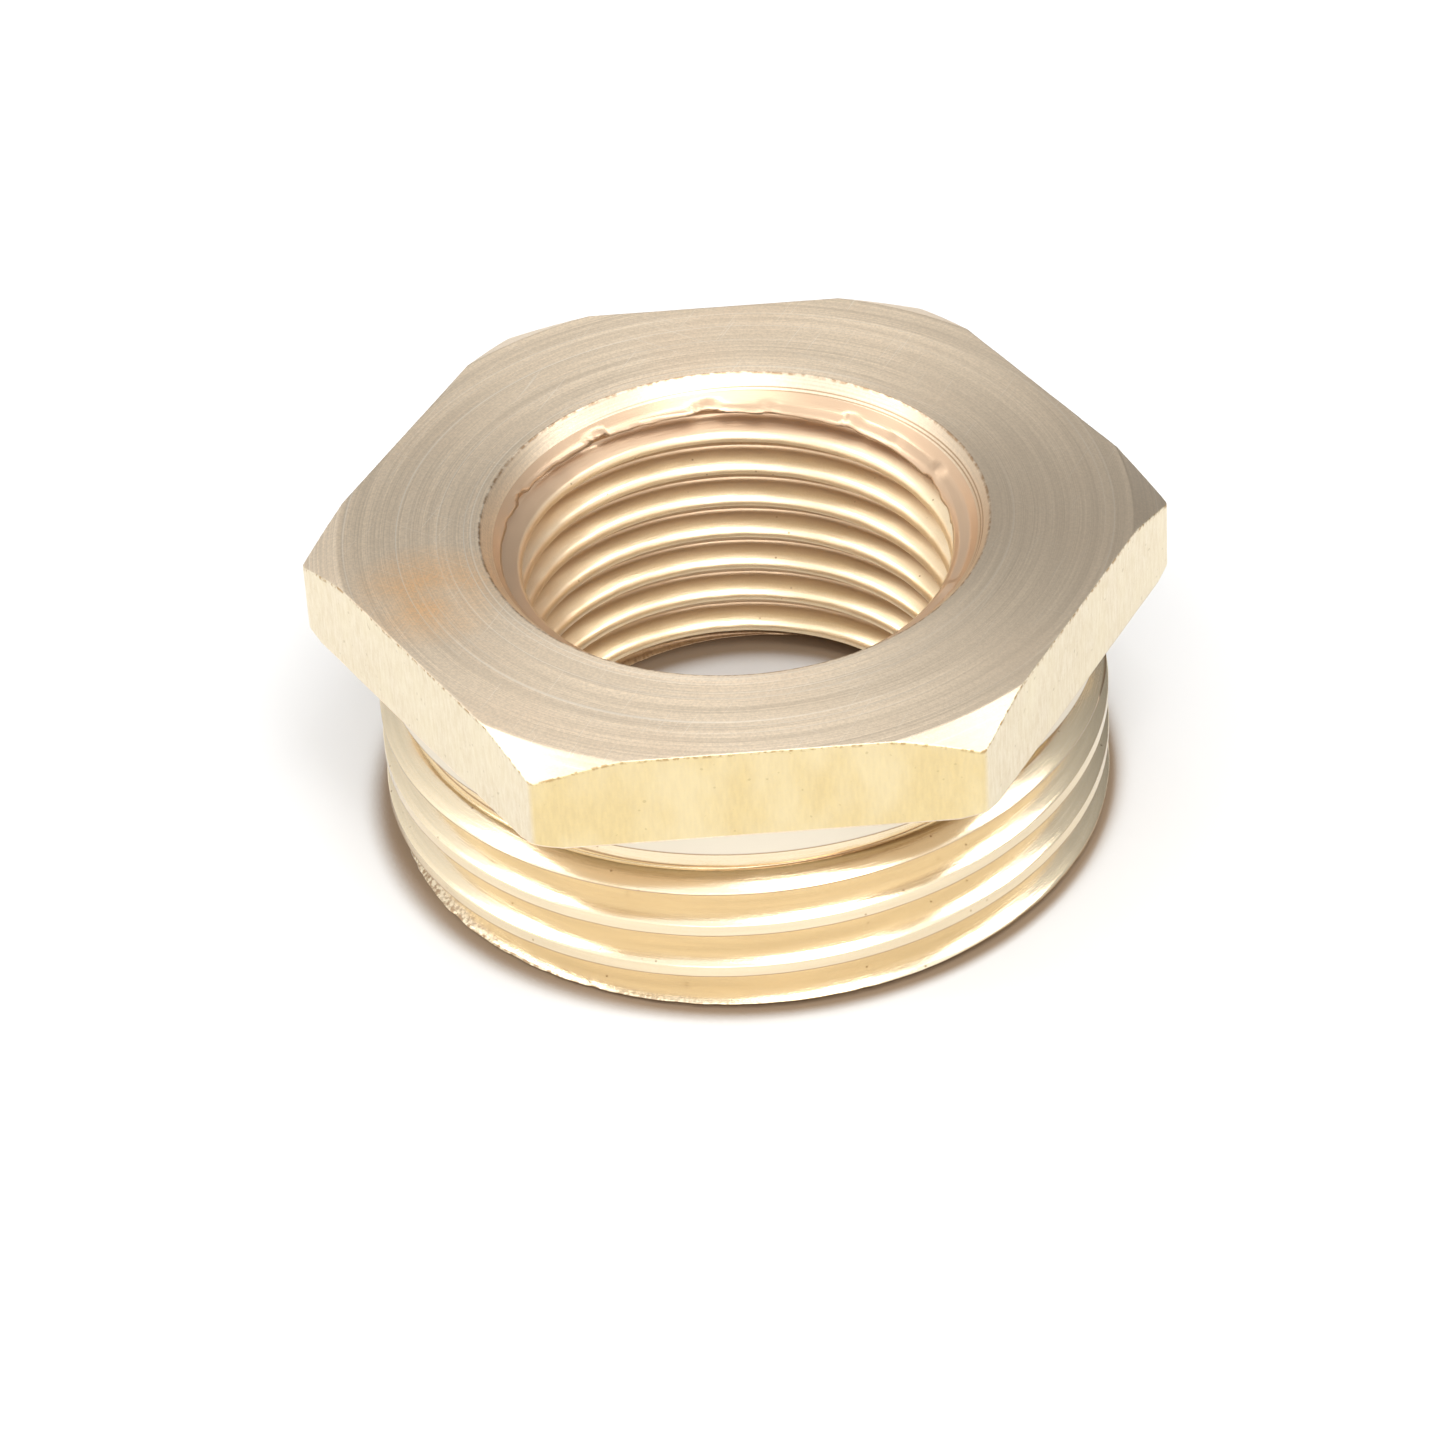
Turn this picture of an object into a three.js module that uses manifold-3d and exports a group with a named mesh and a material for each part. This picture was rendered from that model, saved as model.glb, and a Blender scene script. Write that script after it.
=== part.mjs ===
// Hexagon reducing bushing, machined from one piece of brass: a thin hexagon head on a short round
// collar, a relieved neck and a G 1 outer thread, with a G 1/2 inner thread right through.
// Millimetres, +Z up along the axis, origin at the middle of the thread-end face. Two flats face +Y and -Y.

import * as THREE from "three";
import { mergeVertices } from "three/addons/utils/BufferGeometryUtils.js";
import Module from "manifold-3d";

const wasm = await Module();
wasm.setup();

const DEGREE = Math.PI / 180;
const FULL_TURN = 2 * Math.PI;
const INCH = 25.4;

// Heights above the thread-end face, from the bottom up.
const RELIEF_BOTTOM = 7.6;
const COLLAR_BOTTOM = 8.5;
const HEAD_BOTTOM = 10.1;
const HEIGHT = 14.6;

// Hexagon head, with its corners chamfered above and below by turning.
const ACROSS_FLATS = 33.5;
const CORNER_RADIUS = ACROSS_FLATS / 2 / Math.cos(30 * DEGREE);
const TOP_CHAMFER_RADIUS = 17.7;
const UNDERSIDE_CHAMFER_RADIUS = 18.8;
const CHAMFER_SLOPE = Math.tan(30 * DEGREE);

// Turned collar and neck under the head.
const COLLAR_RADIUS = 16.15;
const NECK_RADIUS = 15.5;

// 55 degree pipe threads with flat crests. crestHeight is how high a crest's middle stands at azimuth
// -90 degrees.
const FLANK_SLOPE = Math.tan(27.5 * DEGREE);
const OUTER_THREAD = {
  pitch: INCH / 11,
  crestRadius: 16.5,
  rootRadius: 15.145,
  crestHeight: 4.58,
  crestFlat: 0.55,
  steps: 60,
};
const INNER_THREAD = {
  pitch: INCH / 14,
  crestRadius: 9.58,
  rootRadius: 10.478,
  crestHeight: 5.62,
  crestFlat: 0.58,
  steps: 48,
};
const CREST_AZIMUTH = -90 * DEGREE;
const CUTTER_OVERSHOOT = 0.3;
const LEAD_CHAMFER = 0.4;

// The groove nearest the neck is cut wide downwards, which leaves the first crest thin. The cut deepens
// over the height where it starts.
const THIN_CREST_CUT = 0.38;
const THIN_CREST_START = 6.4;
const THIN_CREST_FADE = 0.6;

// Countersinks at the two mouths of the bore.
const TOP_MOUTH_RADIUS = 11.35;
const TOP_MOUTH_SLOPE = Math.tan(40 * DEGREE);
const BOTTOM_MOUTH_RADIUS = 9.9;
const BORE_OVERRUN = 1;

function toSolid(geometry) {
  const bare = geometry.clone();
  bare.deleteAttribute("normal");
  bare.deleteAttribute("uv");
  const merged = mergeVertices(bare, 1e-4);
  return new wasm.Manifold(
    new wasm.Mesh({
      numProp: 3,
      vertProperties: new Float32Array(merged.attributes.position.array),
      triVerts: new Uint32Array(merged.index.array),
    }),
  );
}

function toGeometry(solid) {
  const mesh = solid.getMesh();
  const geometry = new THREE.BufferGeometry();
  geometry.setAttribute("position", new THREE.BufferAttribute(mesh.vertProperties, mesh.numProp));
  geometry.setIndex(new THREE.BufferAttribute(mesh.triVerts, 1));
  geometry.computeVertexNormals();
  return geometry;
}

// A solid of revolution about Z. The profile's points are [radius, height], from bottom to top.
function turned(profile, steps) {
  const points = profile.map(([radius, height]) => new THREE.Vector2(radius, height));
  return toSolid(new THREE.LatheGeometry(points, steps).rotateX(90 * DEGREE));
}

function hexagonPrism() {
  const outline = new THREE.Shape();
  for (let corner = 0; corner < 6; corner += 1) {
    const angle = corner * 60 * DEGREE;
    const x = CORNER_RADIUS * Math.cos(angle);
    const y = CORNER_RADIUS * Math.sin(angle);
    if (corner === 0) outline.moveTo(x, y);
    else outline.lineTo(x, y);
  }
  const prism = new THREE.ExtrudeGeometry(outline, { depth: HEIGHT - HEAD_BOTTOM, bevelEnabled: false });
  return toSolid(prism.translate(0, 0, HEAD_BOTTOM));
}

function head() {
  const reach = CORNER_RADIUS + 1;
  const envelope = turned(
    [
      [0, HEAD_BOTTOM],
      [UNDERSIDE_CHAMFER_RADIUS, HEAD_BOTTOM],
      [reach, HEAD_BOTTOM + (reach - UNDERSIDE_CHAMFER_RADIUS) * CHAMFER_SLOPE],
      [reach, HEIGHT - (reach - TOP_CHAMFER_RADIUS) * CHAMFER_SLOPE],
      [TOP_CHAMFER_RADIUS, HEIGHT],
      [0, HEIGHT],
    ],
    120,
  );
  return hexagonPrism().intersect(envelope);
}

// The space between two turns of a thread, as a solid that winds down from top to bottom: a straight
// bar with the groove's section, bent round the axis and lowered by one pitch a turn. Both ends fall on
// the steps of the turned surfaces.
function groove(thread, outline, top, bottom, lowerCut) {
  const step = FULL_TURN / thread.steps;
  const rise = thread.pitch / thread.steps;
  const rootHeight = thread.crestHeight + thread.pitch / 2;
  const firstStep = Math.round((top - rootHeight) / rise);
  const stepCount = Math.round((top - bottom) / rise);
  const bar = new THREE.ExtrudeGeometry(outline, { depth: stepCount, steps: stepCount, bevelEnabled: false });
  const position = bar.attributes.position;
  for (let i = 0; i < position.count; i += 1) {
    const radius = position.getX(i);
    const across = position.getY(i);
    const stepsDown = position.getZ(i);
    const azimuth = CREST_AZIMUTH + (firstStep - stepsDown) * step;
    const middle = rootHeight + (firstStep - stepsDown) * rise;
    const lowered = across < 0 ? lowerCut(middle) : 0;
    position.setXYZ(i, radius * Math.cos(azimuth), radius * Math.sin(azimuth), middle + across - lowered);
  }
  return toSolid(bar);
}

// Section of a groove as [radius, height] points: narrow at the root, open past the crests.
function grooveOutline(thread) {
  const side = Math.sign(thread.crestRadius - thread.rootRadius);
  const depth = Math.abs(thread.crestRadius - thread.rootRadius);
  const rootHalf = (thread.pitch - thread.crestFlat) / 2 - depth * FLANK_SLOPE;
  const open = thread.crestRadius + side * CUTTER_OVERSHOOT;
  const openHalf = rootHalf + (depth + CUTTER_OVERSHOOT) * FLANK_SLOPE;
  const corners = [
    new THREE.Vector2(thread.rootRadius, rootHalf),
    new THREE.Vector2(thread.rootRadius, -rootHalf),
    new THREE.Vector2(open, -openHalf),
    new THREE.Vector2(open, openHalf),
  ];
  return new THREE.Shape(side > 0 ? corners : corners.reverse());
}

function threadedShank() {
  const blank = turned(
    [
      [0, 0],
      [OUTER_THREAD.crestRadius - LEAD_CHAMFER, 0],
      [OUTER_THREAD.crestRadius, LEAD_CHAMFER],
      [OUTER_THREAD.crestRadius, RELIEF_BOTTOM],
      [NECK_RADIUS, RELIEF_BOTTOM],
      [NECK_RADIUS, HEAD_BOTTOM + 1],
      [0, HEAD_BOTTOM + 1],
    ],
    OUTER_THREAD.steps,
  );
  const top = RELIEF_BOTTOM + OUTER_THREAD.pitch;
  const lowerCut = (height) =>
    THIN_CREST_CUT * THREE.MathUtils.clamp((height - THIN_CREST_START) / THIN_CREST_FADE, 0, 1);
  const outline = grooveOutline(OUTER_THREAD);
  return blank.subtract(groove(OUTER_THREAD, outline, top, -OUTER_THREAD.pitch, lowerCut));
}

function collar() {
  return turned(
    [
      [0, COLLAR_BOTTOM],
      [COLLAR_RADIUS, COLLAR_BOTTOM],
      [COLLAR_RADIUS, HEAD_BOTTOM + 1],
      [0, HEAD_BOTTOM + 1],
    ],
    OUTER_THREAD.steps,
  );
}

function threadedBore() {
  const crest = INNER_THREAD.crestRadius;
  const drilled = turned(
    [
      [0, -BORE_OVERRUN],
      [BOTTOM_MOUTH_RADIUS + BORE_OVERRUN, -BORE_OVERRUN],
      [crest, BOTTOM_MOUTH_RADIUS - crest],
      [crest, HEIGHT - (TOP_MOUTH_RADIUS - crest) / TOP_MOUTH_SLOPE],
      [TOP_MOUTH_RADIUS + BORE_OVERRUN * TOP_MOUTH_SLOPE, HEIGHT + BORE_OVERRUN],
      [0, HEIGHT + BORE_OVERRUN],
    ],
    INNER_THREAD.steps,
  );
  const overrun = INNER_THREAD.pitch;
  const outline = grooveOutline(INNER_THREAD);
  return drilled.add(groove(INNER_THREAD, outline, HEIGHT + overrun, -overrun, () => 0));
}

const brass = new THREE.MeshStandardMaterial({
  color: 0xe9cf9a,
  roughness: 0.3,
  metalness: 1,
  flatShading: true,
});
const body = threadedShank().add(collar()).add(head()).subtract(threadedBore());
const bushing = new THREE.Mesh(toGeometry(body), brass);
bushing.name = "reducing_bushing";

const part = new THREE.Group();
part.add(bushing);

export default part;
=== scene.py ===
import math

import bmesh
import bpy
import numpy as np
from mathutils import Matrix, Vector


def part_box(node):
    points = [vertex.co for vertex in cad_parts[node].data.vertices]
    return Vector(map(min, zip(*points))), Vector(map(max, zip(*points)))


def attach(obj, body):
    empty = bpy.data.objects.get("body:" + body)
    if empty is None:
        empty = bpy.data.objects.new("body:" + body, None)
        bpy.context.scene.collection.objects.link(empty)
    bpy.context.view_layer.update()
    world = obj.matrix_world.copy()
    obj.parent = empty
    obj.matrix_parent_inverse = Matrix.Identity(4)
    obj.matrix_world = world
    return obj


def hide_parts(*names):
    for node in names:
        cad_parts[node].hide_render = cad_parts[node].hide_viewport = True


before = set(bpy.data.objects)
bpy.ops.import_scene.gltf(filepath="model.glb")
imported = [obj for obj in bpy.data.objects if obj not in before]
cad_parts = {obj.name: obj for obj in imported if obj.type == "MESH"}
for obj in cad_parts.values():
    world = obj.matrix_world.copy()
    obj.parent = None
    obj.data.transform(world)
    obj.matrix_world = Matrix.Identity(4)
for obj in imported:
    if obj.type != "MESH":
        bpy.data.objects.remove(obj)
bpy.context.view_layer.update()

# Everything is in metres, in the row frame. MM turns millimetres into metres.
MM = 0.001
NODE = "reducing_bushing"
_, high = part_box(NODE)

# Head
HEIGHT = high[2]
CORNER_RADIUS = high[0]
APOTHEM = CORNER_RADIUS * math.cos(math.radians(30))
HEAD_BOTTOM = 10.1 * MM
TOP_CHAMFER_RADIUS = 17.7 * MM
UNDERSIDE_CHAMFER_RADIUS = 18.8 * MM
CHAMFER_SLOPE = math.tan(math.radians(30))
CORNER_ROUNDING = 0.45 * MM
LEAST_CHAMFER = 0.04 * MM

# Collar and neck under the head
COLLAR_RADIUS = 16.15 * MM
COLLAR_BOTTOM = 8.5 * MM
COLLAR_UNDERCUT = 0.45 * MM
NECK_RADIUS = 15.5 * MM
RELIEF_BOTTOM = 7.6 * MM
RELIEF_SLOPE = 0.5
CREASE_HEIGHT = 7.35 * MM

# Mouths of the bore
TOP_MOUTH_RADIUS = 11.35 * MM
TOP_MOUTH_SLOPE = math.tan(math.radians(40))
BOTTOM_MOUTH_RADIUS = 9.9 * MM
CONE_BOTTOM = 13.85 * MM
MOUTH_ROUNDING = 0.05 * MM

# Threads, 55 degrees. Corners and offsets are the heights of a thread's rows above and below a crest's
# middle line, in millimetres.
FLANK_ANGLE = math.radians(27.5)
FLANK_SLOPE = math.tan(FLANK_ANGLE)
CREST_AZIMUTH = math.radians(-90)
OUTER = dict(pitch=25.4 / 11 * MM, crest=16.5 * MM, root=15.1 * MM, height=4.58 * MM)
OUTER_HALF_FLAT = 0.275 * MM
OUTER_ROOT_ROUNDING = 0.3 * MM
ROOT_BELOW_NECK = 0.01 * MM
NECK_CORNER_ROUNDING = 0.02 * MM
LEAD_CHAMFER = 0.4 * MM
LEAD_SLOPE = 0.9
LEAD_ROUNDING = 0.04 * MM
WEAR = 0.003 * MM
LOWER_EDGE_NICKS = 0.05 * MM
LOWER_EDGE_REACH = 0.5 * MM
OUTER_CORNERS = (-0.275, -0.225, 0.275)
OUTER_OFFSETS = (
    -1.09, -1.0, -0.85, -0.6, -0.4, -0.18, -0.12, -0.06, 0.01, 0.1, 0.2, 0.3, 0.34, 0.365, 0.39,
    0.415, 0.44, 0.54, 0.64, 0.75, 0.9, 1.0, 1.09,
)
EDGE_ROLL = 0.26 * MM
EDGE_ROLL_SLOPE = math.tan(math.radians(40))
THIN_CREST_CUT = 0.5 * MM
THIN_CREST_FOOT = 0.39 * MM
THIN_CREST_EXTRA_ROLL = 0.6
FOOT_GROOVE_DEPTH = 0.1 * MM
FOOT_GROOVE_WIDTH = 0.035 * MM
THIN_CREST_START = 6.4 * MM
THIN_CREST_FADE = 0.6 * MM
INNER = dict(pitch=25.4 / 14 * MM, crest=9.58 * MM, root=10.65 * MM, height=5.62 * MM)
INNER_CREST_ROUNDING = 0.44 * MM
INNER_CREST_LEDGE = 0.02 * MM
INNER_ROOT_ROUNDING = 0.05 * MM
INNER_WEAR = 0.004 * MM
INNER_CORNERS = (-0.02,)
INNER_OFFSETS = (
    -0.72, -0.62, -0.5, -0.4, -0.32, -0.24, -0.16, -0.08, 0.02, 0.07, 0.12, 0.18, 0.24, 0.3, 0.35,
    0.4, 0.5, 0.62, 0.72, 0.82,
)

# The ragged lip, where the countersink cuts the inner thread's first crest
LIP_THREAD_START = 12.9 * MM
LIP_THREAD_FADE = 0.4 * MM
LIP_DROOP = 0.3 * MM
LIP_TOP = 13.42 * MM
LIP_FLAP = 0.33 * MM
LIP_ARCH = 0.25 * MM
LIP_ARCH_START = 0.9
LIP_ROUGHNESS = 0.02 * MM
LIP_SOFTNESS = 0.03 * MM

# The skin's mesh. The corner columns are degrees from each corner of the hexagon.
COLUMNS = 234
CORNER_COLUMNS = (-1.0, -0.68, -0.34, 0.34, 0.68, 1.0)
WAVES = 28
EDGE = 0.06 * MM
SOFT_END = 0.04 * MM
MERGE = 0.003 * MM

# Camera
CAMERA_AIM = Vector((-1.10, 0.02, 2.85)) * MM
CAMERA_DISTANCE = 272.2 * MM
CAMERA_AZIMUTH = math.radians(-0.94)
CAMERA_ELEVATION = math.radians(38.19)
CAMERA_ROLL = math.radians(-3.6)
CAMERA_LENS = 147.7
SENSOR_WIDTH = 36.0

# Room and floor, where a brightness of 1 is the picture's white
DARK_SIDE = (0.48, 0.87, 0)
DARK_SIDE_SPAN = (-0.3, 1)
ROOM_BRIGHTNESS = (1.35, 0.25)
FLOOR_REACH = 3
FLOOR_WHITENESS = 0.685
FLOOR_ROUGHNESS = 0.7
FLOOR_SHEEN = 0.2
CONTACT_SHADE = (0.25, 0.18, 0.12)
CONTACT_REACH = 2.3 * MM
CONTACT_OPENNESS = (0.62, 0.9)

# Lights: name, place, size and brightness
LIGHTS = (
    ("overhead left", (-0.42, 0.03, 0.5), (0.15, 0.28), 7.0),
    ("overhead middle", (0.1, -0.2, 0.5), (0.17, 0.24), 7.6),
    ("overhead right", (0.42, 0.0, 0.5), (0.15, 0.28), 6.3),
    ("overhead back", (0, 0.24, 0.5), (0.4, 0.16), 1.2),
    ("front", (0, -0.6, 0.48), (0.6, 0.4), 2.2),
)

# Reflectance of the brass and of what lies on it, and the colours of painted light, painted shade, painted
# highlights and painted reflections on it
MACHINED = (0.86, 0.735, 0.535)
TURNED = (0.86, 0.715, 0.54)
DRAWN = (0.74, 0.595, 0.315)
BORE = (0.94, 0.78, 0.54)
# Painted light: the paler, cooler colour of the slanted flats, standing in for what they reflect.
SIDE_FLATS_PAINTED_LIGHT = (0.81, 0.735, 0.60)
# Painted reflection: the collar's less yellow tone.
COLLAR = (0.74, 0.67, 0.55)
TARNISH = (0.84, 0.66, 0.48)
ORANGE = (1.0, 0.64, 0.34)
# Painted highlight: the near-white colour of glinting scratches and turning arcs.
PAINTED_HIGHLIGHT = (1.0, 0.93, 0.82)
DRAWING_MARK = (0.60, 0.47, 0.26)
PALE_CLOUD = (0.84, 0.76, 0.55)
SPECK = (0.35, 0.26, 0.12)
NICK = (0.42, 0.27, 0.12)
THREAD_GRAIN = (0.80, 0.63, 0.38)
# DARK_LINE colours pits, nicks and tool marks, and also painted shade lines: in the neck's crease, under
# every crest and along the collar's lower edge.
DARK_LINE = (0.34, 0.20, 0.10)
# Painted shade: the brown of the bore's roots, of the first groove under the lip and of its left side.
PAINTED_BORE_SHADE = (0.60, 0.43, 0.29)

# Where the top face is tarnished, in millimetres, and which way the turned faces are darkened by painted
# shade
ORANGE_PATCH = (-13.6, -4.0, 0)
PAINTED_SHADE_SIDE = (0.95, -0.3, 0)

# The spiral tool marks in the mouth: the radius at azimuth 0, and how far they close in each radian, in
# millimetres
TOOL_MARK_RADIUS = 11.02
TOOL_MARK_CLOSING = 0.075


# ---------------------------------------------------------------- shape


def smooth_min(a, b, width):
    blend = np.clip(1 - np.abs(a - b) / width, 0, 1)
    return np.minimum(a, b) - blend**2 * width / 4


def smooth_max(a, b, width):
    return -smooth_min(-a, -b, width)


def column_azimuths():
    """Azimuths of the columns, from -180 to 180 degrees, closer together at the hexagon's corners."""
    even = np.linspace(-180, 180, COLUMNS + 1)
    extra = [c + d for c in range(-180, 181, 60) for d in CORNER_COLUMNS]
    both = np.unique(np.round(np.concatenate([even, extra]), 6))
    return np.radians(both[(both >= -180) & (both <= 180)])


AZIMUTH = column_azimuths()


def uneven(z, seed, around, along):
    """A gentle random surface over azimuth and height, about 1 high. It closes on itself round the axis."""
    random = np.random.default_rng(seed)
    total = np.zeros_like(AZIMUTH + z)
    for _ in range(WAVES):
        turns = random.integers(around[0], around[1] + 1)
        rise = random.uniform(-1, 1) * along / MM
        total += np.cos(turns * AZIMUTH + rise * z + random.uniform(0, math.tau))
    return total / math.sqrt(WAVES / 2)


def hexagon_radius():
    """Distance from the axis to the hexagon's side at each column, with the corners rounded."""
    turn = math.radians(60)
    from_corner = (AZIMUTH + turn / 2) % turn - turn / 2
    flat = APOTHEM / np.cos(turn / 2 - np.abs(from_corner))
    centre = CORNER_RADIUS - CORNER_ROUNDING / math.cos(turn / 2)
    inside = np.maximum(CORNER_ROUNDING**2 - (centre * np.sin(from_corner)) ** 2, 0)
    round_part = centre * np.cos(from_corner) + np.sqrt(inside)
    tangent = turn / 2 - math.atan2(centre * math.sin(turn / 2), APOTHEM)
    return np.where(np.abs(from_corner) < tangent, round_part, flat)


def crest_line(thread):
    """Height of the crest that passes the crest azimuth at the thread's own height."""
    return thread["height"] + thread["pitch"] * (AZIMUTH - CREST_AZIMUTH) / math.tau


def from_crest(thread, z):
    """The nearest crest's middle height, and how far z is above it."""
    line = crest_line(thread)
    middle = line + np.round((z - line) / thread["pitch"]) * thread["pitch"]
    return middle, z - middle


def upper_flank_depth(above_edge, roll):
    """Depth below the crest at a height above the crest's upper edge, where the flank starts rolled over."""
    first, full = 1 / EDGE_ROLL_SLOPE, 1 / FLANK_SLOPE
    rolled = above_edge * first + above_edge**2 * (full - first) / (2 * roll)
    straight = (above_edge - roll) * full + roll * (first + full) / 2
    return np.where(above_edge < roll, rolled, straight)


def outer_radius(z):
    """Radius of the shank at height z, for every column: turned blank and thread together."""
    middle, above = from_crest(OUTER, z)
    half_pitch = OUTER["pitch"] / 2
    thin = np.clip((middle + half_pitch - THIN_CREST_START) / THIN_CREST_FADE, 0, 1)
    groove = middle + np.where(above < 0, -half_pitch, half_pitch)
    near_neck = np.clip((groove - THIN_CREST_START) / THIN_CREST_FADE, 0, 1)
    above_edge = above - OUTER_HALF_FLAT + thin * THIN_CREST_CUT
    upper = OUTER["crest"] - upper_flank_depth(above_edge, EDGE_ROLL * (1 + THIN_CREST_EXTRA_ROLL * thin))
    lower = OUTER["crest"] + (OUTER_HALF_FLAT + above) / FLANK_SLOPE
    thread = np.minimum(np.minimum(upper, lower), OUTER["crest"])
    root = OUTER["root"] + (NECK_RADIUS - ROOT_BELOW_NECK - OUTER["root"]) * near_neck
    thread = smooth_max(thread, root, OUTER_ROOT_ROUNDING * (1 - near_neck) + NECK_CORNER_ROUNDING)
    foot = np.exp(-(((above - THIN_CREST_FOOT) / FOOT_GROOVE_WIDTH) ** 2))
    thread -= thin * FOOT_GROOVE_DEPTH * foot
    relief = NECK_RADIUS + np.maximum(RELIEF_BOTTOM - z, 0) / RELIEF_SLOPE
    lead = OUTER["crest"] - np.maximum(LEAD_CHAMFER - z, 0) * LEAD_SLOPE
    worn = WEAR * uneven(z, 3, (8, 60), 9)
    near_end = np.clip(1 - z / LOWER_EDGE_REACH, 0, 1)
    ragged = LOWER_EDGE_NICKS * near_end * np.maximum(uneven(z, 4, (25, 100), 6), 0)
    return np.minimum(smooth_min(thread, lead, LEAD_ROUNDING), relief) + worn - ragged


def bore_radius(z):
    """Radius of the threaded bore at height z, for every column."""
    middle, above = from_crest(INNER, z)
    near_mouth = np.clip((middle - LIP_THREAD_START) / LIP_THREAD_FADE, 0, 1)
    arch = np.clip(uneven(0 * z, 7, (9, 34), 0) - LIP_ARCH_START, 0, 1)
    droop = near_mouth * (LIP_DROOP - LIP_ARCH * arch + LIP_ROUGHNESS * uneven(0 * z, 8, (20, 70), 0))
    rounding = INNER_CREST_ROUNDING
    reach = rounding * math.cos(FLANK_ANGLE)
    arc = INNER["crest"] + rounding - np.sqrt(rounding**2 - np.clip(above, 0, reach) ** 2)
    upper = arc + np.maximum(above - reach, 0) / FLANK_SLOPE
    lower = INNER["crest"] + np.maximum(-above - INNER_CREST_LEDGE - droop, 0) / FLANK_SLOPE
    thread = np.maximum(upper, lower)
    thread = smooth_min(thread, INNER["root"], INNER_ROOT_ROUNDING) + INNER_WEAR * uneven(z, 5, (6, 50), 8)
    flap = LIP_FLAP / (1 + np.exp((z - LIP_TOP - LIP_ARCH * arch) / LIP_SOFTNESS))
    top = TOP_MOUTH_RADIUS - (HEIGHT - z) * TOP_MOUTH_SLOPE - flap
    bottom = BOTTOM_MOUTH_RADIUS - z
    return smooth_max(np.maximum(thread, top), bottom, MOUTH_ROUNDING)


def soft_clip(height, low_end, high_end):
    lifted = low_end + SOFT_END * np.logaddexp(0, (height - low_end) / SOFT_END)
    return high_end - SOFT_END * np.logaddexp(0, (high_end - lifted) / SOFT_END)


def helical_rows(thread, offsets, corners, low_end, high_end):
    """Rows that follow the thread and bunch up softly at the two ends, as (heights, is it a sharp corner)."""
    line = crest_line(thread)
    first = math.floor((low_end - line.max()) / thread["pitch"])
    last = math.ceil((high_end - line.min()) / thread["pitch"])
    rows = []
    for turn in range(first, last + 1):
        for offset in sorted((*offsets, *corners, thread["pitch"] / MM / 2)):
            height = line + turn * thread["pitch"] + offset * MM
            rows.append((soft_clip(height, low_end, high_end), offset in corners))
    return rows


def row(radius, z):
    """A row of the skin as (radius, height) at every column."""
    flat = np.zeros_like(AZIMUTH)
    return radius + flat, z + flat


def toward(start, end, distance, most=0.4):
    """The row at a distance from start on the way to end, at most this share of the way."""
    length = np.hypot(end[0] - start[0], end[1] - start[1])
    t = np.minimum(distance / np.maximum(length, 1e-9), most)
    return start[0] + (end[0] - start[0]) * t, start[1] + (end[1] - start[1]) * t


def stretch(start, end, count):
    """Rows along a straight stretch between two rounded corners, the outermost close to the rounding."""
    first, last = toward(start, end, 2 * EDGE, 0.45), toward(end, start, 2 * EDGE, 0.45)
    shares = np.linspace(0, 1, count)
    return [(first[0] + (last[0] - first[0]) * t, first[1] + (last[1] - first[1]) * t) for t in shares]


def rounded(before, corner, after):
    """Rows that round off a corner between the rows before and after it."""
    a, c = toward(corner, before, EDGE), toward(corner, after, EDGE)
    rows = []
    for t in (0, 0.33, 0.67, 1):
        w = ((1 - t) ** 2, 2 * t * (1 - t), t**2)
        rows.append(tuple(w[0] * a[i] + w[1] * corner[i] + w[2] * c[i] for i in (0, 1)))
    return rows


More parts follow.
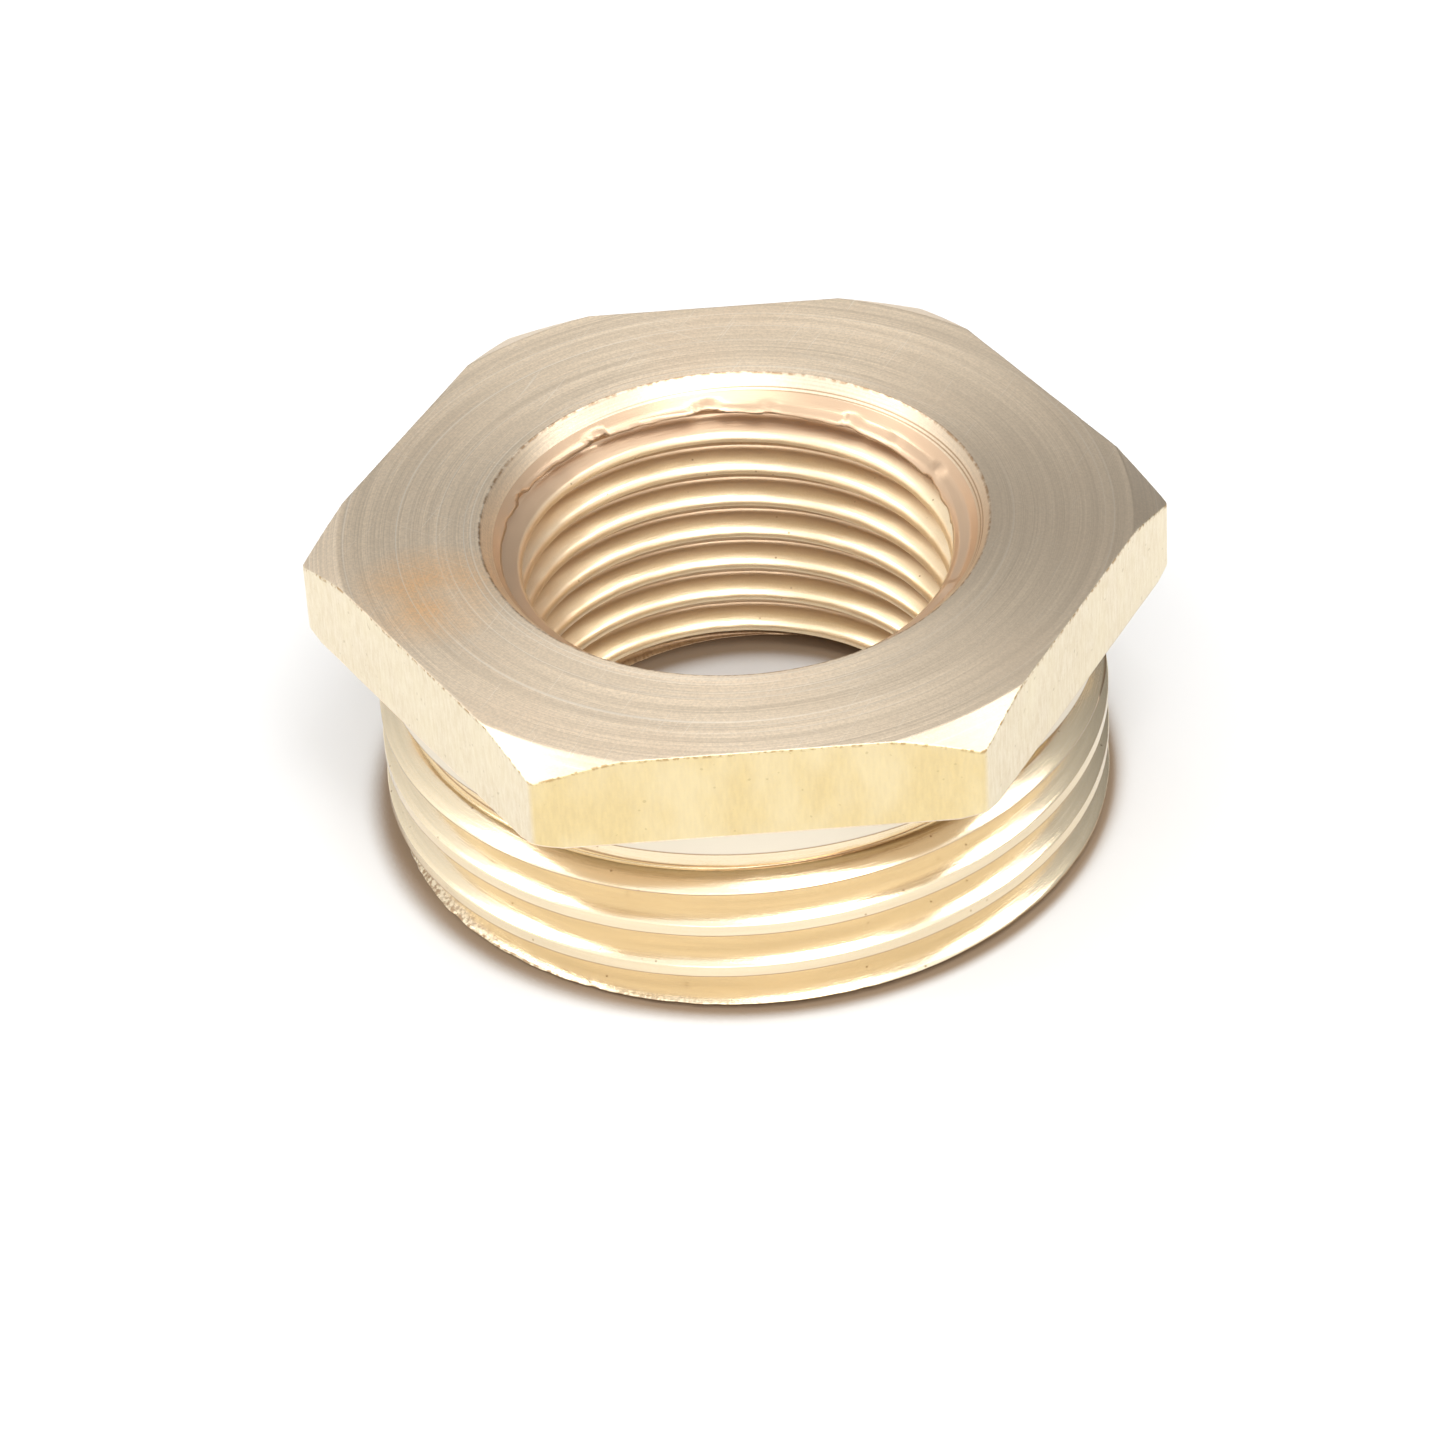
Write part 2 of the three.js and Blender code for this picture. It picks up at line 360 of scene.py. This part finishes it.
def skin_rows():
    """The skin's rows in order: up the bore, out over the head, down the shank, in under the end face.
    Each is (finish, radius, height, is it a sharp corner)."""
    rows = []

    def add(finish, new_rows):
        rows.extend((finish, r, z, False) for r, z in new_rows)

    hexagon = hexagon_radius() + WEAR * uneven(0, 11, (6, 40), 0)
    above_chamfer = np.maximum(hexagon - TOP_CHAMFER_RADIUS, LEAST_CHAMFER)
    below_chamfer = np.maximum(hexagon - UNDERSIDE_CHAMFER_RADIUS, LEAST_CHAMFER)
    shank_top = COLLAR_BOTTOM + COLLAR_UNDERCUT - 3 * EDGE
    end_inner = row(bore_radius(np.zeros_like(AZIMUTH)), 0)
    end_outer = row(outer_radius(np.zeros_like(AZIMUTH)), 0)
    bore_low = row(bore_radius(np.full_like(AZIMUTH, EDGE)), EDGE)
    shank_low = row(outer_radius(np.full_like(AZIMUTH, EDGE)), EDGE)
    cone_start = row(bore_radius(np.full_like(AZIMUTH, CONE_BOTTOM)), CONE_BOTTOM)
    corners = [
        ("turned", cone_start, 0),
        ("turned", row(TOP_MOUTH_RADIUS, HEIGHT), 6),
        ("turned", row(np.minimum(TOP_CHAMFER_RADIUS, hexagon - LEAST_CHAMFER), HEIGHT), 9),
        ("flat", row(hexagon, HEIGHT - above_chamfer * CHAMFER_SLOPE), 4),
        ("turned", row(hexagon, HEAD_BOTTOM + below_chamfer * CHAMFER_SLOPE), 7),
        ("turned", row(np.minimum(UNDERSIDE_CHAMFER_RADIUS, hexagon - LEAST_CHAMFER), HEAD_BOTTOM), 3),
        ("turned", row(COLLAR_RADIUS, HEAD_BOTTOM), 4),
        ("turned", row(COLLAR_RADIUS, COLLAR_BOTTOM), 4),
        ("turned", row(NECK_RADIUS, COLLAR_BOTTOM + COLLAR_UNDERCUT), 3),
        ("thread", row(NECK_RADIUS, shank_top - EDGE), 0),
    ]
    add("bore", rounded(end_outer, end_inner, bore_low))
    bore = helical_rows(INNER, INNER_OFFSETS, INNER_CORNERS, EDGE, CONE_BOTTOM)
    rows.extend(("bore", bore_radius(z), z, sharp) for z, sharp in bore)
    for before, here, after in zip(corners, corners[1:], corners[2:]):
        add(before[0], stretch(before[1], here[1], here[2]))
        add(here[0], rounded(before[1], here[1], after[1]))
    shank = helical_rows(OUTER, OUTER_OFFSETS, OUTER_CORNERS, EDGE, shank_top)
    rows.extend(("thread", outer_radius(z), z, sharp) for z, sharp in reversed(shank))
    add("turned", rounded(shank_low, end_outer, end_inner))
    add("turned", stretch(end_outer, end_inner, 6))
    return rows


def bushing_mesh(finishes):
    """The whole skin as one closed mesh, with a material for each finish."""
    rows = skin_rows()
    radius = np.array([r for _, r, _, _ in rows])
    z = np.array([h for _, _, h, _ in rows])
    points = np.stack([radius * np.cos(AZIMUTH), radius * np.sin(AZIMUTH), z], axis=-1)
    count, columns = radius.shape
    index = np.arange(count * columns).reshape(count, columns)
    after = np.roll(index, -1, axis=0)
    quads = np.stack([index[:, :-1], index[:, 1:], after[:, 1:], after[:, :-1]], axis=-1).reshape(-1, 4)
    names = list(finishes)
    finish = np.repeat([names.index(f) for f, _, _, _ in rows], columns - 1)
    mesh = bpy.data.meshes.new("bushing")
    mesh.from_pydata(points.reshape(-1, 3).tolist(), [], quads.tolist())
    mesh.polygons.foreach_set("material_index", finish.astype(np.int32))
    for material in finishes.values():
        mesh.materials.append(material)
    ends = np.zeros(2 * len(mesh.edges), np.int32)
    mesh.edges.foreach_get("vertices", ends)
    ends = ends.reshape(-1, 2) // columns
    corner = np.array([sharp for _, _, _, sharp in rows])
    sharp = (ends[:, 0] == ends[:, 1]) & corner[ends[:, 0]]
    mesh.attributes.new("sharp_edge", "BOOLEAN", "EDGE").data.foreach_set("value", sharp)
    return mesh


def clean(mesh):
    """Joins the rows that bunch up at the threads' ends, and the first and last columns."""
    bm = bmesh.new()
    bm.from_mesh(mesh)
    bmesh.ops.remove_doubles(bm, verts=bm.verts, dist=MERGE)
    bmesh.ops.recalc_face_normals(bm, faces=bm.faces)
    bm.to_mesh(mesh)
    bm.free()


def add_piece(name, mesh):
    obj = bpy.data.objects.new(name, mesh)
    bpy.context.scene.collection.objects.link(obj)
    mesh.shade_smooth()
    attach(obj, "root")
    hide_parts(NODE)


def bushing(finishes):
    mesh = bushing_mesh(finishes)
    clean(mesh)
    add_piece("bushing_skin", mesh)


# ---------------------------------------------------------------- materials


class Finish:
    """A brass material and short ways to add nodes to it. Lengths inside it are in millimetres."""

    def __init__(self, name, roughness, anisotropic):
        self.material = bpy.data.materials.new(name)
        self.material.use_nodes = True
        self.tree = self.material.node_tree
        self.shader = self.tree.nodes["Principled BSDF"]
        self.shader.inputs["Metallic"].default_value = 1
        self.shader.inputs["Roughness"].default_value = roughness
        self.shader.inputs["Anisotropic"].default_value = anisotropic
        self.shader.inputs["Anisotropic Rotation"].default_value = 0.25
        if anisotropic:
            tangent = self.add("ShaderNodeTangent", direction_type="RADIAL", axis="Z")
            self.tree.links.new(tangent.outputs[0], self.shader.inputs["Tangent"])
        coordinates = self.add("ShaderNodeTexCoord")
        self.normal = coordinates.outputs["Normal"]
        self.place = self.vector("SCALE", coordinates.outputs["Object"], Scale=1000)
        self.flat_place = self.vector("MULTIPLY", self.place, (1, 1, 0))
        self.radius = self.vector("LENGTH", self.flat_place)
        self.height = self.split(self.place)[2]
        self.heading = self.vector("NORMALIZE", self.flat_place)

    def add(self, kind, **settings):
        node = self.tree.nodes.new(kind)
        for key, value in settings.items():
            setattr(node, key, value)
        return node

    def feed(self, socket, value):
        if isinstance(value, bpy.types.NodeSocket):
            self.tree.links.new(value, socket)
        else:
            socket.default_value = value

    def vector(self, operation, *values, **named):
        node = self.add("ShaderNodeVectorMath", operation=operation)
        for socket, value in zip(node.inputs, values):
            self.feed(socket, value)
        for key, value in named.items():
            self.feed(node.inputs[key], value)
        return node.outputs["Value" if operation in ("LENGTH", "DOT_PRODUCT") else "Vector"]

    def math(self, operation, *values):
        node = self.add("ShaderNodeMath", operation=operation)
        for socket, value in zip(node.inputs, values):
            self.feed(socket, value)
        return node.outputs[0]

    def split(self, vector):
        node = self.add("ShaderNodeSeparateXYZ")
        self.feed(node.inputs[0], vector)
        return node.outputs

    def join(self, x, y, z):
        node = self.add("ShaderNodeCombineXYZ")
        for socket, value in zip(node.inputs, (x, y, z)):
            self.feed(socket, value)
        return node.outputs[0]

    def noise(self, vector, detail=2.0, fourth=0.0):
        node = self.add("ShaderNodeTexNoise", noise_dimensions="4D")
        self.feed(node.inputs["Vector"], vector)
        self.feed(node.inputs["W"], fourth)
        node.inputs["Scale"].default_value = 1
        node.inputs["Detail"].default_value = detail
        return node.outputs["Fac"]

    def spread(self, value, low, high, to_low=0.0, to_high=1.0):
        """Maps low..high onto another range, and holds it there."""
        node = self.add("ShaderNodeMapRange")
        for socket, number in zip(node.inputs, (value, low, high, to_low, to_high)):
            self.feed(socket, number)
        return node.outputs[0]

    def mix(self, factor, a, b):
        node = self.add("ShaderNodeMix", data_type="RGBA")
        self.feed(node.inputs[0], factor)
        self.feed(node.inputs[6], (*a, 1) if isinstance(a, tuple) else a)
        self.feed(node.inputs[7], (*b, 1) if isinstance(b, tuple) else b)
        return node.outputs[2]

    def rings(self, width, marks, detail=2.0):
        """Turning marks: noise drawn out round the axis, with so many marks a turn, each so wide."""
        across = self.join(0, 0, self.math("DIVIDE", self.radius, width))
        around = self.vector("SCALE", self.heading, Scale=marks / math.tau)
        place = self.vector("ADD", around, across)
        return self.noise(place, detail, fourth=self.math("DIVIDE", self.height, width))

    def grain(self, size, detail=2.0, stretch=(1, 1, 1)):
        place = self.vector("MULTIPLY", self.place, tuple(1 / (size * s) for s in stretch))
        return self.noise(place, detail)

    def scratches(self, angle, length, width, amount):
        """Sparse straight scratches in one direction across the face."""
        turned = self.add("ShaderNodeVectorRotate", rotation_type="Z_AXIS")
        self.feed(turned.inputs["Vector"], self.place)
        turned.inputs["Angle"].default_value = math.radians(angle)
        drawn = self.vector("MULTIPLY", turned.outputs[0], (1 / length, 1 / width, 1 / length))
        return self.spread(self.noise(drawn, 0.5), amount, amount + 0.05)

    def bump(self, height, distance):
        node = self.add("ShaderNodeBump")
        node.inputs["Distance"].default_value = distance * MM
        self.feed(node.inputs["Height"], height)
        self.feed(self.shader.inputs["Normal"], node.outputs[0])

    def finish(self, colour, roughness):
        self.feed(self.shader.inputs["Base Color"], colour)
        self.feed(self.shader.inputs["Roughness"], roughness)
        return self.material


def scaled(colour, factor):
    return tuple(min(c * factor, 1) for c in colour)


def turned_brass():
    """Faces cut on the lathe: fine rings, bright arcs, scratches, and a warm tarnished patch on the left.
    The arcs and scratches get a painted highlight, the right-hand side painted shade, the collar a painted
    reflection, and the collar's lower edge a painted shade line.
    """
    f = Finish("brass_turned", 0.4, 0.6)
    fine = f.rings(0.05, 9)
    broad = f.rings(0.5, 4)
    arcs = f.spread(f.rings(0.09, 3, 0), 0.7, 0.78)
    patches = f.grain(6, 3)
    grain = f.grain(0.12)
    tone = f.math("ADD", f.math("MULTIPLY", fine, 0.6), f.math("MULTIPLY", broad, 0.4))
    colour = f.mix(f.spread(tone, 0.38, 0.62), scaled(TURNED, 0.88), scaled(TURNED, 1.13))
    colour = f.mix(f.spread(patches, 0.5, 0.7, 0, 0.4), colour, TARNISH)
    from_patch = f.vector("LENGTH", f.vector("SUBTRACT", f.flat_place, ORANGE_PATCH))
    orange = f.math("MULTIPLY", f.spread(from_patch, 3.9, 0.9), f.spread(f.grain(3, 1), 0.2, 0.55))
    colour = f.mix(orange, colour, ORANGE)
    colour = f.mix(f.spread(grain, 0.38, 0.62, 0, 0.35), colour, scaled(TURNED, 0.7))
    lines = f.math("MAXIMUM", f.scratches(35, 7, 0.05, 0.7), f.scratches(-62, 4, 0.05, 0.71))
    lines = f.math("MULTIPLY", lines, f.spread(f.height, HEIGHT / MM - 0.1, HEIGHT / MM - 0.05))
    # The scratches and arcs are real marks; their near-white colour is a painted highlight.
    bright = f.math("MAXIMUM", f.math("MULTIPLY", lines, 0.4), f.math("MULTIPLY", arcs, 0.4))
    colour = f.mix(bright, colour, PAINTED_HIGHLIGHT)
    # Painted shade: the turned faces are darkened towards the right-hand side.
    painted_shade_side = f.vector("DOT_PRODUCT", f.heading, PAINTED_SHADE_SIDE)
    colour = f.mix(f.spread(painted_shade_side, 0.2, 1, 0, 0.55), colour, scaled(TURNED, 0.6))
    # Painted reflection: the collar gets a less yellow tone than the other turned faces.
    on_collar = f.math("LESS_THAN", f.height, HEAD_BOTTOM / MM - 0.01)
    colour = f.mix(on_collar, colour, COLLAR)
    # Dark lines: the dotted rim line, the tool marks, and a painted shade line along the collar's lower edge.
    for line in (mouth_rim(f), tool_mark(f, 0), tool_mark(f, 0.11), collar_edge_shade(f)):
        colour = f.mix(line, colour, DARK_LINE)
    f.bump(f.math("ADD", fine, f.math("MULTIPLY", grain, 0.6)), 0.007)
    return f.finish(colour, f.spread(tone, 0.3, 0.7, 0.35, 0.45))


def line_at(f, value, half_width):
    """1 where a value is zero, fading to 0 at the half width."""
    return f.spread(f.math("ABSOLUTE", value), half_width, half_width * 0.3)


def mouth_rim(f):
    """A thin dotted dark line round the rim of the bore's mouth."""
    rim = line_at(f, f.math("SUBTRACT", f.radius, TOP_MOUTH_RADIUS / MM), 0.09)
    return f.math("MULTIPLY", rim, f.spread(f.grain(0.3), 0.35, 0.6, 0, 0.8))


def tool_mark(f, offset):
    """A fine spiral line the countersink left in the mouth, from the right round to the far left."""
    x, y, _ = f.split(f.heading)
    angle = f.math("ARCTAN2", y, x)
    spiral = f.math("SUBTRACT", TOOL_MARK_RADIUS - offset, f.math("MULTIPLY", angle, TOOL_MARK_CLOSING))
    line = line_at(f, f.math("SUBTRACT", f.radius, spiral), 0.035)
    there = f.math("MULTIPLY", f.spread(angle, -0.7, -0.2), f.spread(angle, 2.4, 1.6))
    return f.math("MULTIPLY", f.math("MULTIPLY", line, there), 0.75)


def collar_edge_shade(f):
    """A painted shade line along the collar's lower edge."""
    above = line_at(f, f.math("SUBTRACT", f.height, COLLAR_BOTTOM / MM + 0.03), 0.1)
    return f.math("MULTIPLY", above, 0.85)


def drawn_brass():
    """The bar's own flats: upright drawing marks and a speckled, slightly tarnished skin.
    Painted light makes the four slanted flats paler than the front and back ones.
    """
    f = Finish("brass_flat", 0.45, 0.0)
    marks = f.grain(0.16, 2, (1, 1, 5))
    speckle = f.grain(0.13, 3)
    clouds = f.grain(2.0, 3, (1, 1, 2))
    facing = f.math("ABSOLUTE", f.split(f.normal)[1])
    # Painted light: the four slanted flats are paler than the front and back flats.
    base = f.mix(f.spread(facing, 0.55, 0.95, 0.1, 1), SIDE_FLATS_PAINTED_LIGHT, DRAWN)
    tone = f.math("ADD", f.math("MULTIPLY", marks, 0.55), f.math("MULTIPLY", speckle, 0.45))
    colour = f.mix(f.spread(tone, 0.38, 0.62, 0.45, 0), base, DRAWING_MARK)
    colour = f.mix(f.spread(clouds, 0.4, 0.65, 0, 0.3), colour, PALE_CLOUD)
    specks = f.spread(f.grain(0.25, 0), 0.76, 0.82)
    colour = f.mix(f.math("MULTIPLY", specks, 0.3), colour, SPECK)
    beyond = f.math("MAXIMUM", f.math("SUBTRACT", f.radius, TOP_CHAMFER_RADIUS / MM), 0.04)
    edge = f.math("SUBTRACT", HEIGHT / MM, f.math("MULTIPLY", beyond, CHAMFER_SLOPE))
    below = f.math("SUBTRACT", edge, f.height)
    nicks = f.math("MULTIPLY", f.spread(below, 0.16, 0.04), f.spread(f.grain(0.28), 0.48, 0.6))
    colour = f.mix(f.math("MULTIPLY", nicks, 0.85), colour, NICK)
    f.bump(f.math("ADD", marks, speckle), 0.012)
    return f.finish(colour, f.spread(speckle, 0.3, 0.7, 0.36, 0.52))


def threaded_brass(name, roughness, tint, painted_shade, painted_shade_colour):
    """Thread flanks and crests: marks that run round with the tool, small dark pits, and painted shade."""
    f = Finish(name, roughness, 0.0)
    fine = f.rings(0.05, 40)
    broad = f.rings(0.3, 14)
    grain = f.grain(0.09)
    colour = f.mix(f.spread(broad, 0.35, 0.65), scaled(tint, 0.94), scaled(tint, 1.03))
    colour = f.mix(f.spread(grain, 0.35, 0.65, 0, 0.25), colour, THREAD_GRAIN)
    colour = f.mix(pits(f, 1.3, 0.07, 0.45), colour, DARK_LINE)
    colour = f.mix(pits(f, 0.35, 0.13, 0.6), colour, DARK_LINE)
    chipped = f.spread(f.grain(0.2, 3, (1, 1, 1.5)), 0.44, 0.58)
    nicks = f.math("MULTIPLY", f.spread(f.height, 0.42, 0.15), chipped)
    colour = f.mix(f.math("MULTIPLY", nicks, 0.8), colour, DARK_LINE)
    # Painted shade, where the given mask lies.
    colour = f.mix(painted_shade(f), colour, painted_shade_colour)
    f.bump(f.math("ADD", fine, grain), 0.004)
    return f.finish(colour, f.spread(fine, 0.3, 0.7, roughness - 0.04, roughness + 0.06))


def filmed(material, metallic):
    """Makes a brass less metallic, as a stand-in for a thin dull film on it."""
    material.node_tree.nodes["Principled BSDF"].inputs["Metallic"].default_value = metallic
    return material


def bore_painted_shade(f):
    """Where painted shade lies in the bore: along the roots, in the first groove under the lip, and on the
    left.
    """
    roots = f.spread(f.radius, 10.05, 10.45, 0, 0.8)
    first_groove = f.math("MULTIPLY", f.spread(f.height, 12.1, 12.4), f.spread(f.radius, 9.65, 9.8, 0, 1))
    left = f.spread(f.split(f.heading)[0], -0.6, -1, 0, 0.7)
    return f.math("MAXIMUM", f.math("MAXIMUM", roots, first_groove), left)


def shank_painted_shade(f):
    """Painted shade lines: in the crease above the first crest, and along the lower edge of every crest."""
    crease = line_at(f, f.math("SUBTRACT", f.height, CREASE_HEIGHT / MM), 0.09)
    near_neck = f.spread(f.radius, NECK_RADIUS / MM + 0.3, NECK_RADIUS / MM + 0.15)
    x, y, _ = f.split(f.heading)
    turns = f.math("DIVIDE", f.math("ARCTAN2", y, x), math.tau)
    edge = (OUTER["height"] - OUTER_HALF_FLAT) / MM
    above = f.math("DIVIDE", f.math("SUBTRACT", f.height, edge), OUTER["pitch"] / MM)
    phase = f.math("SUBTRACT", f.math("SUBTRACT", above, turns), 0.25)
    edge_line = line_at(f, f.math("SUBTRACT", phase, f.math("ROUND", phase)), 0.03)
    return f.math("MULTIPLY", f.math("MAXIMUM", f.math("MULTIPLY", crease, near_neck), edge_line), 0.8)


def pits(f, per_millimetre, size, skipped):
    """Small round pits scattered over the surface, as a mask."""
    cells = f.add("ShaderNodeTexVoronoi")
    f.feed(cells.inputs["Vector"], f.place)
    cells.inputs["Scale"].default_value = per_millimetre
    chosen = f.spread(f.split(cells.outputs["Color"])[0], skipped, skipped + 0.05)
    edge = size * per_millimetre
    round_pit = f.spread(cells.outputs["Distance"], edge, edge * 0.4)
    return f.math("MULTIPLY", f.math("MULTIPLY", round_pit, chosen), 0.75)


# ---------------------------------------------------------------- stage


def floor():
    """A white floor, warmer and darker where the object stands close over it."""
    mesh = bpy.data.meshes.new("floor")
    corners = [(x * FLOOR_REACH, y * FLOOR_REACH, 0) for x, y in ((-1, -1), (1, -1), (1, 1), (-1, 1))]
    mesh.from_pydata(corners, [], [(0, 1, 2, 3)])
    obj = bpy.data.objects.new("floor", mesh)
    bpy.context.scene.collection.objects.link(obj)
    material = bpy.data.materials.new("floor_white")
    material.use_nodes = True
    tree = material.node_tree
    shader = tree.nodes["Principled BSDF"]
    contact = tree.nodes.new("ShaderNodeAmbientOcclusion")
    contact.inputs["Distance"].default_value = CONTACT_REACH
    shade = tree.nodes.new("ShaderNodeMix")
    shade.data_type = "RGBA"
    shade.inputs[6].default_value = (*CONTACT_SHADE, 1)
    shade.inputs[7].default_value = (FLOOR_WHITENESS,) * 3 + (1,)
    openness = tree.nodes.new("ShaderNodeMapRange")
    openness.inputs["From Min"].default_value = CONTACT_OPENNESS[0]
    openness.inputs["From Max"].default_value = CONTACT_OPENNESS[1]
    tree.links.new(contact.outputs["AO"], openness.inputs["Value"])
    tree.links.new(openness.outputs[0], shade.inputs[0])
    tree.links.new(shade.outputs[2], shader.inputs["Base Color"])
    shader.inputs["Roughness"].default_value = FLOOR_ROUGHNESS
    shader.inputs["Specular IOR Level"].default_value = FLOOR_SHEEN
    mesh.materials.append(material)


def softbox(name, place, size, brightness):
    """A rectangular light aimed at the origin. Brightness is how bright it looks in a mirror, where 1 is
    the picture's white."""
    light = bpy.data.lights.new(name, "AREA")
    light.shape = "RECTANGLE"
    light.size, light.size_y = size
    light.energy = brightness * math.pi * size[0] * size[1]
    obj = bpy.data.objects.new(name, light)
    obj.location = place
    obj.rotation_euler = (-Vector(place)).to_track_quat("-Z", "Y").to_euler()
    bpy.context.scene.collection.objects.link(obj)


def surroundings():
    """A grey room that is darkest at the back right and brightest at the front left."""
    world = bpy.data.worlds.new("studio")
    world.use_nodes = True
    tree = world.node_tree
    direction = tree.nodes.new("ShaderNodeTexCoord").outputs["Generated"]
    toward_dark = tree.nodes.new("ShaderNodeVectorMath")
    toward_dark.operation = "DOT_PRODUCT"
    toward_dark.inputs[1].default_value = DARK_SIDE
    tree.links.new(direction, toward_dark.inputs[0])
    level = tree.nodes.new("ShaderNodeMapRange")
    for socket, value in zip(level.inputs[1:], (*DARK_SIDE_SPAN, *ROOM_BRIGHTNESS)):
        socket.default_value = value
    tree.links.new(toward_dark.outputs["Value"], level.inputs[0])
    background = tree.nodes["Background"]
    background.inputs["Color"].default_value = (1, 1, 1, 1)
    tree.links.new(level.outputs[0], background.inputs["Strength"])
    bpy.context.scene.world = world


def camera():
    data = bpy.data.cameras.new("camera")
    data.lens = CAMERA_LENS
    data.sensor_width = SENSOR_WIDTH
    data.clip_start, data.clip_end = 0.01, 20
    obj = bpy.data.objects.new("camera", data)
    a, e = CAMERA_AZIMUTH, CAMERA_ELEVATION
    back = Vector((math.sin(a) * math.cos(e), -math.cos(a) * math.cos(e), math.sin(e)))
    obj.location = CAMERA_AIM + back * CAMERA_DISTANCE
    turn = (-back).to_track_quat("-Z", "Y").to_matrix() @ Matrix.Rotation(CAMERA_ROLL, 3, "Z")
    obj.rotation_euler = turn.to_euler()
    bpy.context.scene.collection.objects.link(obj)
    bpy.context.scene.camera = obj


FINISHES = {
    "turned": turned_brass(),
    "flat": drawn_brass(),
    "thread": threaded_brass("brass_thread", 0.19, MACHINED, shank_painted_shade, DARK_LINE),
    "bore": filmed(threaded_brass("brass_bore", 0.33, BORE, bore_painted_shade, PAINTED_BORE_SHADE), 0.85),
}
camera()
floor()
surroundings()
for light in LIGHTS:
    softbox(*light)
bushing(FINISHES)
bpy.context.scene.view_settings.view_transform = "Standard"
